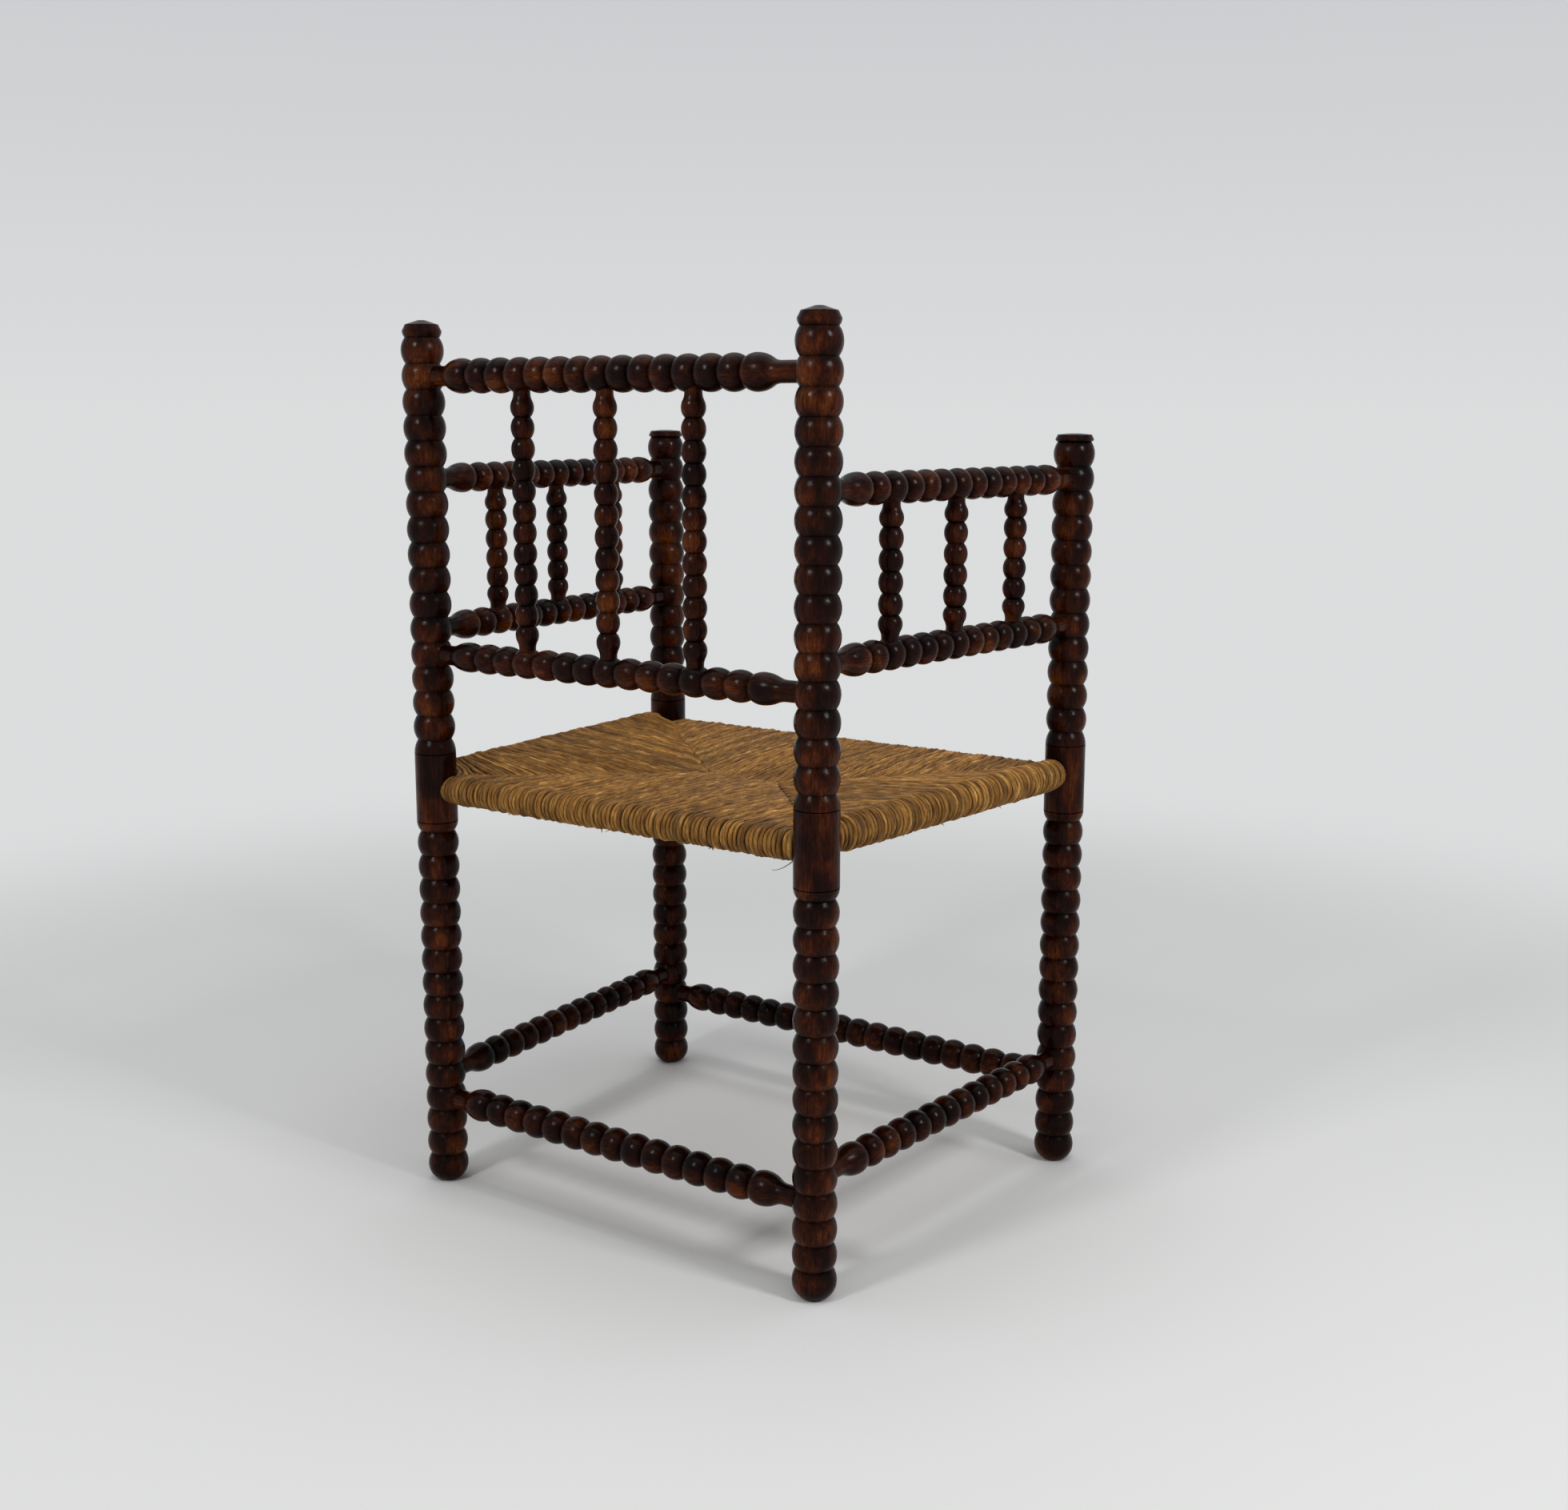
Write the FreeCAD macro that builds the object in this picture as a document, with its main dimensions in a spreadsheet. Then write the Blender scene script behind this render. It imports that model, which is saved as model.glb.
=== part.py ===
import FreeCAD, Part
import Sketcher
import os
import re

# A bead-turned armchair with a woven rush seat, in millimetres.
# The chair faces -Y, +Z is up, and the origin is on the floor below the middle of the chair.
# "left" and "right" are the sitter's own: left is +X, right is -X.
SIZES = {
    # Plan of the four posts, measured between their axes
    "back_width": 490,
    "front_width": 556,
    "seat_depth": 437.5,
    # Posts: a foot bead, a run of beads, a plain stretch for the seat, more beads and a cap
    "post_ball": 43.6,
    "post_groove": 35.2,
    "post_pitch": 26,
    "foot_height": 30,
    "foot_face": 24,
    "leg_beads": 14,
    "plain_length": 99.5,
    "plain_lower_shoulder": 11.2,
    "plain_upper_shoulder": 14.5,
    "scribe_width": 1.2,
    "scribe_depth": 0.7,
    "back_beads": 16,
    "front_beads": 12,
    # Caps: a disc that flares out of the last groove to its edge, a slope, and a low dome
    "back_cap_edge": 40.2,
    "back_cap_shoulder": 33.8,
    "back_cap_top": 8,
    "back_cap_flare": 6.5,
    "back_cap_slope": 6.5,
    "back_cap_dome": 4.2,
    "front_cap_edge": 40.8,
    "front_cap_shoulder": 36,
    "front_cap_top": 14,
    "front_cap_flare": 2.4,
    "front_cap_slope": 4.8,
    "front_cap_dome": 1.2,
    # The bead of a post that each rail enters, counted up from the foot or the plain stretch
    "back_stretcher_bead": 3,
    "front_stretcher_bead": 3,
    "side_stretcher_bead": 4,
    "back_lower_bead": 4,
    "back_top_bead": 15,
    "arm_lower_bead": 5,
    "arm_top_bead": 11,
    # Turned rails: a run of beads, a bulb at each end that tapers to a plain neck, the tenon
    "neck_diameter": 20.5,
    "long_neck": 18.5,
    "middle_neck": 11.6,
    "short_neck": 8.5,
    "front_neck": 5.6,
    "bulb_taper": 26,
    "bulb_turn_share": 0.6,
    "back_rail_beads": 15,
    "side_rail_beads": 13,
    "front_rail_beads": 18,
    "back_top_ball": 35.4,
    "back_top_groove": 24.5,
    "back_lower_ball": 31.2,
    "back_lower_groove": 22,
    "arm_ball": 31.6,
    "arm_groove": 17.5,
    "cross_stretcher_ball": 34.6,
    "cross_stretcher_groove": 24,
    "side_stretcher_ball": 32.5,
    "side_stretcher_groove": 19,
    "tenon_stop": 5.5,
    # Spindles: a vase at each end and a run of beads, their ends let into the rails
    "spindle_ball": 23.6,
    "spindle_groove": 16,
    "spindle_pitch": 20.7,
    "spindle_end": 17,
    "spindle_stop": 4.5,
    "spindle_step": 4,
    "back_spindle_beads": 10,
    "arm_spindle_beads": 4,
    "vase_share": 0.6,
    # Seat rails, hidden in the rush
    "cross_seat_height": 440,
    "side_seat_rise": 11,
    "seat_rail_diameter": 22,
    "seat_tenon_diameter": 14,
    "seat_tenon_stop": 9,
    # Rush seat: a roll round each seat rail, and four panels that dip to a short ridge
    "cross_roll_diameter": 31.5,
    "side_roll_diameter": 33,
    "panel_edge_thickness": 29,
    "seat_ridge_length": 88,
    "seat_dip": 4,
    "seat_middle_thickness": 16,
    # Clearances
    "tenon_clearance": 0.1,
    "socket_end_gap": 0.3,
    "shoulder_gap": 0.3,
    "rush_clearance": 0.3,
}

LEG_TOP = "(foot_height + leg_beads * post_pitch)"
UPPER_START = f"({LEG_TOP} + plain_length)"

POSTS = {
    "back_post_left": ("back_width / 2", "seat_depth / 2", "back"),
    "back_post_right": ("-back_width / 2", "seat_depth / 2", "back"),
    "front_post_left": ("front_width / 2", "-seat_depth / 2", "front"),
    "front_post_right": ("-front_width / 2", "-seat_depth / 2", "front"),
}


def leg_height(bead):
    return f"(foot_height + ({bead} - 0.5) * post_pitch)"


def upper_height(bead):
    return f"({UPPER_START} + ({bead} - 0.5) * post_pitch)"


# Each rail: its two posts, its height, the sizes that it is turned to, and the necks at its ends
BACK = ("back_post_right", "back_post_left")
FRONT = ("front_post_right", "front_post_left")
LEFT = ("back_post_left", "front_post_left")
RIGHT = ("back_post_right", "front_post_right")
ARM_NECKS = ("short_neck", "middle_neck")
STRETCHER_NECKS = ("middle_neck", "middle_neck")
TURNED_RAILS = {
    "back_top_rail": (BACK, upper_height("back_top_bead"), "back_rail_beads", "back_top",
                      ("long_neck", "short_neck")),
    "back_lower_rail": (BACK, upper_height("back_lower_bead"), "back_rail_beads", "back_lower",
                        ("middle_neck", "short_neck")),
    "arm_rail_left": (LEFT, upper_height("arm_top_bead"), "side_rail_beads", "arm", ARM_NECKS),
    "arm_rail_right": (RIGHT, upper_height("arm_top_bead"), "side_rail_beads", "arm", ARM_NECKS),
    "arm_lower_rail_left": (LEFT, upper_height("arm_lower_bead"), "side_rail_beads", "arm", ARM_NECKS),
    "arm_lower_rail_right": (RIGHT, upper_height("arm_lower_bead"), "side_rail_beads", "arm", ARM_NECKS),
    "back_stretcher": (BACK, leg_height("back_stretcher_bead"), "back_rail_beads",
                       "cross_stretcher", ("middle_neck", "short_neck")),
    "front_stretcher": (FRONT, leg_height("front_stretcher_bead"), "front_rail_beads",
                        "cross_stretcher", ("front_neck", "front_neck")),
    "left_stretcher": (LEFT, leg_height("side_stretcher_bead"), "side_rail_beads",
                       "side_stretcher", STRETCHER_NECKS),
    "right_stretcher": (RIGHT, leg_height("side_stretcher_bead"), "side_rail_beads",
                        "side_stretcher", STRETCHER_NECKS),
}
SIDE_SEAT_HEIGHT = "(cross_seat_height + side_seat_rise)"
SEAT_RAILS = {
    "back_seat_rail": (BACK, "cross_seat_height", "cross_roll_diameter"),
    "front_seat_rail": (FRONT, "cross_seat_height", "cross_roll_diameter"),
    "left_seat_rail": (LEFT, SIDE_SEAT_HEIGHT, "side_roll_diameter"),
    "right_seat_rail": (RIGHT, SIDE_SEAT_HEIGHT, "side_roll_diameter"),
}

# Each row of three spindles: the rails below and above, the count of beads and the name's start
SPINDLE_ROWS = (
    ("back_lower_rail", "back_top_rail", "back_spindle_beads", "back_spindle"),
    ("arm_lower_rail_left", "arm_rail_left", "arm_spindle_beads", "left_arm_spindle"),
    ("arm_lower_rail_right", "arm_rail_right", "arm_spindle_beads", "right_arm_spindle"),
)
SPINDLE_NUMBERS = (1, 2, 3)

doc = FreeCAD.newDocument("chair")
sheet = doc.addObject("Spreadsheet::Sheet", "Sizes")
for row, (alias, size) in enumerate(SIZES.items(), start=1):
    sheet.set(f"A{row}", alias)
    sheet.set(f"B{row}", str(size))
    sheet.setAlias(f"B{row}", alias)
doc.recompute()


def linked(formula):
    """Put the sheet's name before each of its aliases in a formula."""
    return re.sub(r"\b([a-z]+(?:_[a-z]+)+)\b", r"Sizes.\1", formula)


def number(formula):
    return float(sheet.evalExpression(formula))


# Geometry of a straight line between two posts


def span(posts):
    """The length between two posts' axes, and the line's direction in plan."""
    (first_x, first_y, _), (last_x, last_y, _) = POSTS[posts[0]], POSTS[posts[1]]
    across, along = f"({last_x} - ({first_x}))", f"({last_y} - ({first_y}))"
    length = f"sqrt({across} ^ 2 + {along} ^ 2)"
    return length, f"({across} / {length})", f"({along} / {length})"


def point_on(posts, distance):
    """Plan coordinates at a distance from the first post's axis towards the second's."""
    _, across, along = span(posts)
    first_x, first_y, _ = POSTS[posts[0]]
    return f"({first_x} + {across} * {distance})", f"({first_y} + {along} * {distance})"


def lying_place(posts, height, distance="0"):
    """Placement that lays an upright piece along the line from one post to the other."""
    _, across, along = span(posts)
    x, y = point_on(posts, distance)
    return f"placement(vector({x}; {y}; {height}); rotation(vector(-{along}; {across}; 0); 90))"


def standing_place(x, y, height):
    return f"placement(vector({x}; {y}; {height}); rotation(vector(0; 0; 1); 0))"


def place(piece, formula):
    piece.setExpression("Placement", linked(formula))


# Turned pieces: half outlines revolved about the upright axis


def origin_feature(body, role):
    return next(feature for feature in body.Origin.OriginFeatures if feature.Role == role)


def outline_edge(start, end, centre_height):
    """A straight edge, or an arc whose centre lies at the given height, and its end order."""
    if centre_height is None:
        return Part.LineSegment(start, end), (1, 2)
    rise_start, rise_end = start.y - centre_height, end.y - centre_height
    middle = (end.x ** 2 - start.x ** 2 + rise_end ** 2 - rise_start ** 2) / (2 * (end.x - start.x))
    centre = FreeCAD.Vector(middle, centre_height, 0)
    upright = FreeCAD.Vector(0, 0, 1)
    circle = Part.Circle(centre, upright, (start - centre).Length)
    order = (1, 2) if (start - centre).cross(end - centre).z > 0 else (2, 1)
    first, last = (start, end) if order == (1, 2) else (end, start)
    return Part.ArcOfCircle(circle, circle.parameter(first), circle.parameter(last)), order


def fix_distance(sketch, kind, edge, position, formula):
    """Tie a point's distance from the sketch's origin to a formula of the sheet."""
    if formula == "0":
        axis = -2 if kind == "DistanceX" else -1
        sketch.addConstraint(Sketcher.Constraint("PointOnObject", edge, position, axis))
        return
    distance = number(formula)
    index = sketch.addConstraint(Sketcher.Constraint(kind, -1, 1, edge, position, distance))
    sketch.setExpression(f"Constraints[{index}]", linked(formula))


def outline_sketch(body, name, outline):
    """A closed outline of (radius, height) points; a third value makes the edge that
    arrives there an arc with its centre at that height."""
    sketch = body.newObject("Sketcher::SketchObject", name)
    sketch.AttachmentSupport = [(origin_feature(body, "XZ_Plane"), "")]
    sketch.MapMode = "FlatFace"
    corners = [FreeCAD.Vector(number(corner[0]), number(corner[1]), 0) for corner in outline]
    orders = []
    for edge, start in enumerate(corners):
        following = (edge + 1) % len(outline)
        bend = outline[following][2] if len(outline[following]) == 3 else None
        shape, order = outline_edge(start, corners[following], number(bend) if bend else None)
        sketch.addGeometry(shape, False)
        orders.append(order)
        if bend:
            fix_distance(sketch, "DistanceY", edge, 3, bend)
    for edge, corner in enumerate(outline):
        before = edge - 1 if edge else len(outline) - 1
        sketch.addConstraint(Sketcher.Constraint(
            "Coincident", before, orders[before][1], edge, orders[edge][0]))
        fix_distance(sketch, "DistanceX", edge, orders[edge][0], corner[0])
        fix_distance(sketch, "DistanceY", edge, orders[edge][0], corner[1])
    return sketch


def revolve(body, name, outline, kind="PartDesign::Revolution"):
    sketch = outline_sketch(body, name + "_outline", outline)
    feature = body.newObject(kind, name)
    feature.Profile = sketch
    feature.ReferenceAxis = (sketch, ["V_Axis"])
    feature.Angle = 360
    body.Tip = feature
    return feature


def repeat(body, name, feature, pitch, count):
    """Repeat a turned bead up the piece."""
    pattern = body.newObject("PartDesign::LinearPattern", name)
    pattern.Originals = [feature]
    pattern.Direction = (feature.Profile[0], ["V_Axis"])
    pattern.Mode = "Spacing"
    pattern.setExpression("Offset", linked(pitch))
    pattern.setExpression("Occurrences", linked(count))
    body.Tip = pattern
    return pattern


def half(diameter):
    return f"{diameter} / 2"


def bead_outline(ball, groove, start, pitch):
    middle = f"{start} + {pitch} / 2"
    end = f"{start} + {pitch}"
    return [
        ("0", start), (half(groove), start), (half(ball), middle, middle),
        (half(groove), end, middle), ("0", end),
    ]


def flipped(outline, length):
    """The same outline from the other end of a piece of the given length."""
    bends = [corner[2] if len(corner) == 3 else None for corner in outline]
    turned = []
    for position in range(len(outline) - 1, -1, -1):
        radius, height = outline[position][:2]
        bend = bends[position + 1] if position + 1 < len(outline) else None
        mirrored = (radius, f"{length} - ({height})")
        turned.append(mirrored + (f"{length} - ({bend})",) if bend else mirrored)
    return turned


# Posts


def foot_outline():
    middle = "foot_height - post_pitch / 2"
    return [
        ("0", "0"), ("foot_face / 2", "0"), ("post_ball / 2", middle, middle),
        ("post_groove / 2", "foot_height", middle), ("0", "foot_height"),
    ]


def plain_outline():
    lower = f"{LEG_TOP} + plain_lower_shoulder"
    upper = f"{UPPER_START} - plain_upper_shoulder"
    return [
        ("0", LEG_TOP), ("post_groove / 2", LEG_TOP), ("post_ball / 2", lower, lower),
        ("post_ball / 2", upper), ("post_groove / 2", UPPER_START, upper), ("0", UPPER_START),
    ]


def scribe_outline(height):
    return [
        ("post_ball / 2 + scribe_depth", f"{height} - scribe_width"),
        ("post_ball / 2 - scribe_depth", height),
        ("post_ball / 2 + scribe_depth", f"{height} + scribe_width"),
    ]


def cap_outline(kind, start):
    flare = f"{start} + {kind}_cap_flare"
    slope = f"{flare} + {kind}_cap_slope"
    top = f"{slope} + {kind}_cap_dome"
    return [
        ("0", start), ("post_groove / 2", start), (f"{kind}_cap_edge / 2", flare, flare),
        (f"{kind}_cap_shoulder / 2", slope), (f"{kind}_cap_top / 2", top), ("0", top),
    ]


def turned_post(name, x, y, kind):
    body = doc.addObject("PartDesign::Body", name + "_turning")
    revolve(body, name + "_foot", foot_outline())
    leg_bead = revolve(body, name + "_leg_bead",
                       bead_outline("post_ball", "post_groove", "foot_height", "post_pitch"))
    repeat(body, name + "_leg_beads", leg_bead, "post_pitch", "leg_beads")
    revolve(body, name + "_plain", plain_outline())
    upper_bead = revolve(body, name + "_upper_bead",
                         bead_outline("post_ball", "post_groove", UPPER_START, "post_pitch"))
    repeat(body, name + "_upper_beads", upper_bead, "post_pitch", f"{kind}_beads")
    cap_start = f"({UPPER_START} + {kind}_beads * post_pitch)"
    revolve(body, name + "_cap", cap_outline(kind, cap_start))
    for line, height in (("lower", f"({LEG_TOP} + plain_lower_shoulder)"),
                         ("upper", f"({UPPER_START} - plain_upper_shoulder)")):
        revolve(body, f"{name}_{line}_scribe", scribe_outline(height), "PartDesign::Groove")
    place(body, standing_place(x, y, "0"))
    return body


# Sockets, and pieces with sockets cut into them


def rod(name, diameter, length, placement):
    piece = doc.addObject("Part::Cylinder", name)
    piece.setExpression("Radius", linked(half(diameter)))
    piece.setExpression("Height", linked(length))
    place(piece, placement)
    return piece


def rail_socket(name, posts, height, tenon, stop):
    """A blind hole from near the first post's axis out through its side."""
    bore = f"({tenon} + 2 * tenon_clearance)"
    floor = f"({stop} - socket_end_gap)"
    return rod(name, bore, f"(post_ball - {floor})", lying_place(posts, height, floor))


def together(name, pieces):
    group = doc.addObject("Part::MultiFuse", name)
    group.Shapes = pieces
    return group


def cut_from(label, blank, tools):
    piece = doc.addObject("Part::Cut", label)
    piece.Base = blank
    piece.Tool = together(label + "_sockets", tools)
    piece.Label = label
    return piece


def make_post(name):
    x, y, kind = POSTS[name]
    sockets = []
    rails = [(rail, row[0], row[1], "neck_diameter", "tenon_stop") for rail, row in TURNED_RAILS.items()]
    rails += [(rail, row[0], row[1], "seat_tenon_diameter", "seat_tenon_stop")
              for rail, row in SEAT_RAILS.items()]
    for rail, posts, height, tenon, stop in rails:
        if name in posts:
            other = posts[1] if posts[0] == name else posts[0]
            sockets.append(rail_socket(f"{name}_socket_{rail}", (name, other), height, tenon, stop))
    return cut_from(name, turned_post(name, x, y, kind), sockets)


# Rails


def first_bead(neck):
    """Distance from a post's axis to the middle of the bead at that end of a rail."""
    return f"(post_ball / 2 + {neck} + bulb_taper)"


def rail_pitch(posts, beads, necks):
    length = span(posts)[0]
    return f"(({length} - {first_bead(necks[0])} - {first_bead(necks[1])}) / ({beads} - 1))"


def rail_end_outline(ball, groove, neck, pitch):
    """Tenon, plain neck, and the ogee that swells to the bulb of the first bead."""
    middle = first_bead(neck)
    neck_end = f"({middle} - bulb_taper)"
    turn_height = f"({middle} - bulb_taper * bulb_turn_share)"
    turn_radius = f"({ball} / 2 - ({ball} - neck_diameter) / 2 * bulb_turn_share)"
    groove_height = f"({middle} + {pitch} / 2)"
    return [
        ("0", "tenon_stop"), ("neck_diameter / 2", "tenon_stop"), ("neck_diameter / 2", neck_end),
        (turn_radius, turn_height, neck_end), (half(ball), middle, middle),
        (half(groove), groove_height, middle), ("0", groove_height),
    ]


def make_rail(name):
    posts, height, beads, turning, necks = TURNED_RAILS[name]
    ball, groove = turning + "_ball", turning + "_groove"
    length = span(posts)[0]
    pitch = rail_pitch(posts, beads, necks)
    body = doc.addObject("PartDesign::Body", name + "_turning")
    revolve(body, name + "_near_end", rail_end_outline(ball, groove, necks[0], pitch))
    start = f"({first_bead(necks[0])} + {pitch} / 2)"
    bead = revolve(body, name + "_bead", bead_outline(ball, groove, start, pitch))
    repeat(body, name + "_beads", bead, pitch, f"{beads} - 2")
    far_end = rail_end_outline(ball, groove, necks[1], pitch)
    revolve(body, name + "_far_end", flipped(far_end, length))
    place(body, lying_place(posts, height))
    sockets = []
    for lower, upper, _, row_name in SPINDLE_ROWS:
        if name in (lower, upper):
            for spindle in SPINDLE_NUMBERS:
                x, y = spindle_spot(lower, spindle)
                sockets.append(spindle_socket(f"{name}_socket_{spindle}", x, y, height, ball, name == lower))
    if not sockets:
        body.Label = name
        return body
    return cut_from(name, body, sockets)


def make_seat_rail(name):
    posts, height, _ = SEAT_RAILS[name]
    length = span(posts)[0]
    shoulder = "(post_ball / 2 + shoulder_gap)"
    radii = ("seat_tenon_diameter / 2", "seat_rail_diameter / 2")
    outline = [
        ("0", "seat_tenon_stop"), (radii[0], "seat_tenon_stop"), (radii[0], shoulder), (radii[1], shoulder),
        (radii[1], f"{length} - {shoulder}"), (radii[0], f"{length} - {shoulder}"),
        (radii[0], f"{length} - seat_tenon_stop"), ("0", f"{length} - seat_tenon_stop"),
    ]
    body = doc.addObject("PartDesign::Body", name)
    revolve(body, name + "_bar", outline)
    place(body, lying_place(posts, height))
    return body


# Spindles


def spindle_spot(lower, spindle):
    """Plan coordinates of one spindle of a row: the middle one stands halfway along the beads."""
    posts, _, beads, _, necks = TURNED_RAILS[lower]
    steps = f"(({beads} - 1) / 2 + ({spindle} - 2) * spindle_step)"
    return point_on(posts, f"({first_bead(necks[0])} + {steps} * {rail_pitch(posts, beads, necks)})")


def spindle_socket(name, x, y, height, ball, from_above):
    """A blind hole into a rail, from above or from below."""
    floor = "(spindle_stop - socket_end_gap)"
    depth = f"({ball} - {floor})"
    bottom = f"({height} + {floor})" if from_above else f"({height} - {ball})"
    return rod(name, "(spindle_end + 2 * tenon_clearance)", depth, standing_place(x, y, bottom))


def vase_outline(rail_ball, vase):
    """The end let into the rail, then a vase that swells and closes to the first groove."""
    surface = half(rail_ball)
    widest = f"({surface} + {vase} * vase_share)"
    turn_height = f"(({surface} + {widest}) / 2)"
    turn_radius = "((spindle_end + spindle_ball) / 4)"
    groove = f"({surface} + {vase})"
    return [
        ("0", "spindle_stop"), ("spindle_end / 2", "spindle_stop"), ("spindle_end / 2", surface),
        (turn_radius, turn_height, surface), ("spindle_ball / 2", widest, widest),
        ("spindle_groove / 2", groove, widest), ("0", groove),
    ]


def make_spindle(name, lower, upper, beads, spindle):
    lower_ball, upper_ball = (TURNED_RAILS[rail][3] + "_ball" for rail in (lower, upper))
    foot, top = TURNED_RAILS[lower][1], TURNED_RAILS[upper][1]
    rise = f"({top} - {foot})"
    vase = f"(({rise} - {lower_ball} / 2 - {upper_ball} / 2 - {beads} * spindle_pitch) / 2)"
    body = doc.addObject("PartDesign::Body", name)
    revolve(body, name + "_lower_vase", vase_outline(lower_ball, vase))
    bead = revolve(body, name + "_bead", bead_outline(
        "spindle_ball", "spindle_groove", f"({lower_ball} / 2 + {vase})", "spindle_pitch"))
    repeat(body, name + "_beads", bead, "spindle_pitch", beads)
    revolve(body, name + "_upper_vase", flipped(vase_outline(upper_ball, vase), rise))
    x, y = spindle_spot(lower, spindle)
    place(body, standing_place(x, y, foot))
    return body


# Rush seat


def panel_shape():
    """Four panels over and four under the seat, which meet at a ridge across its middle."""
    ridge = number("seat_ridge_length / 2")
    middle = number("cross_seat_height - seat_dip")
    half_thickness = number("seat_middle_thickness / 2")
    edge = number("cross_seat_height")
    edge_half = number("panel_edge_thickness / 2")
    corners = [(number(POSTS[name][0]), number(POSTS[name][1])) for name in
               ("back_post_left", "back_post_right", "front_post_right", "front_post_left")]
    layers = []
    for side in (1, -1):
        outer = [FreeCAD.Vector(x, y, edge + side * edge_half) for x, y in corners]
        left = FreeCAD.Vector(ridge, 0, middle + side * half_thickness)
        right = FreeCAD.Vector(-ridge, 0, middle + side * half_thickness)
        layers.append((outer, left, right))
    loops = []
    for outer, left, right in layers:
        loops += [
            (outer[0], outer[1], right, left), (outer[1], outer[2], right),
            (outer[2], outer[3], left, right), (outer[3], outer[0], left),
        ]
    top, bottom = layers[0][0], layers[1][0]
    for corner in range(4):
        following = (corner + 1) % 4
        loops.append((top[corner], top[following], bottom[following], bottom[corner]))
    faces = [Part.Face(Part.makePolygon(list(loop) + [loop[0]])) for loop in loops]
    shell = Part.makeShell(faces)
    shell.sewShape()
    solid = Part.makeSolid(shell)
    if solid.Volume < 0:
        solid.reverse()
    return solid


def make_rush_seat():
    panels = doc.addObject("Part::Feature", "rush_panels")
    panels.Shape = panel_shape()
    rolls = [panels]
    hollows = []
    for name, (posts, height, roll) in SEAT_RAILS.items():
        length = span(posts)[0]
        rolls.append(rod(name + "_roll", roll, length, lying_place(posts, height)))
        hollows.append(rod(name + "_hollow", "(seat_rail_diameter + 2 * rush_clearance)", length,
                           lying_place(posts, height)))
    for name, (x, y, _) in POSTS.items():
        hollows.append(rod(name + "_hollow", "(post_ball + 2 * rush_clearance)", UPPER_START,
                           standing_place(x, y, "0")))
    return cut_from("rush_seat", together("rush_rolls", rolls), hollows)


nodes = [make_post(name) for name in POSTS]
nodes += [make_rail(name) for name in TURNED_RAILS]
nodes += [make_seat_rail(name) for name in SEAT_RAILS]
for lower_rail, upper_rail, bead_count, row_name in SPINDLE_ROWS:
    for spindle_number in SPINDLE_NUMBERS:
        nodes.append(make_spindle(f"{row_name}_{spindle_number}", lower_rail, upper_rail,
                                  bead_count, spindle_number))
nodes.append(make_rush_seat())
doc.recompute()

# Every object is up to date, and every sub-part is one valid solid, before anything is written
for item in doc.Objects:
    if "Invalid" in item.State or "Error" in item.State:
        raise RuntimeError(f"{item.Name} did not recompute")
for node in nodes:
    if node.Shape.isNull() or not node.Shape.isValid() or not node.Shape.Solids:
        raise RuntimeError(f"{node.Label} has no valid shape")

os.makedirs("parts", exist_ok=True)
for node in nodes:
    node.Shape.exportStep(f"parts/{node.Label}.step")
    box = node.Shape.BoundBox
    print(f"{node.Label}: {len(node.Shape.Solids)} solid, {node.Shape.Volume / 1000:.1f} cm3, "
          f"z {box.ZMin:.1f} to {box.ZMax:.1f}")
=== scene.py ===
import bpy
import math
import random
from mathutils import Matrix, Vector, noise as smooth


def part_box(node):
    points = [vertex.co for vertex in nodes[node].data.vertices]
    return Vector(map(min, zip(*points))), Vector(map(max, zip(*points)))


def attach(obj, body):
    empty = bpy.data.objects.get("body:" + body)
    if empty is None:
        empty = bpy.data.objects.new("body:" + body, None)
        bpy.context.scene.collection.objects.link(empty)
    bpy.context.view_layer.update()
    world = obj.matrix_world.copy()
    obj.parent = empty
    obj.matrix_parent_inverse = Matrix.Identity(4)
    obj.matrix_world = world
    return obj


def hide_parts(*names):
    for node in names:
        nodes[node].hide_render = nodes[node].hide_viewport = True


# The dressed chair: stained turned wood over the frame's own turned pieces, and a woven
# rush seat made strand by strand. Lengths are in metres.

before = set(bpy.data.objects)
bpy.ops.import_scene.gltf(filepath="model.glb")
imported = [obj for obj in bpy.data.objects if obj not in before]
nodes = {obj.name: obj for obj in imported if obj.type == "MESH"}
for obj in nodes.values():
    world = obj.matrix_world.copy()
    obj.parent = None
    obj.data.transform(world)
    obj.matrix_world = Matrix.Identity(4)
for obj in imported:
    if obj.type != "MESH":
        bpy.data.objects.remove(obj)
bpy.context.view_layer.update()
scene = bpy.context.scene

MM = 0.001


def centre_of(node):
    low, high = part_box(node)
    return (Vector(low) + Vector(high)) / 2


POSTS = {name: centre_of(name) for name in nodes if name.split("_")[1] == "post"}
BACK_LEFT = POSTS["back_post_left"]
BACK_RIGHT = POSTS["back_post_right"]
FRONT_LEFT = POSTS["front_post_left"]
FRONT_RIGHT = POSTS["front_post_right"]


# Materials


def new_material(name):
    material = bpy.data.materials.new(name)
    material.use_nodes = True
    tree = material.node_tree
    shader = tree.nodes["Principled BSDF"]
    return material, tree, shader


def add_node(tree, kind, **settings):
    node = tree.nodes.new(kind)
    for key, value in settings.items():
        setattr(node, key, value)
    return node


def local_position(tree, origin, rotation):
    """Position in a piece's own frame: its z runs along the piece."""
    place = add_node(tree, "ShaderNodeTexCoord")
    mapping = add_node(tree, "ShaderNodeMapping", vector_type="TEXTURE")
    mapping.inputs["Location"].default_value = origin
    mapping.inputs["Rotation"].default_value = rotation
    tree.links.new(place.outputs["Object"], mapping.inputs["Vector"])
    return mapping.outputs["Vector"]


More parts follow.
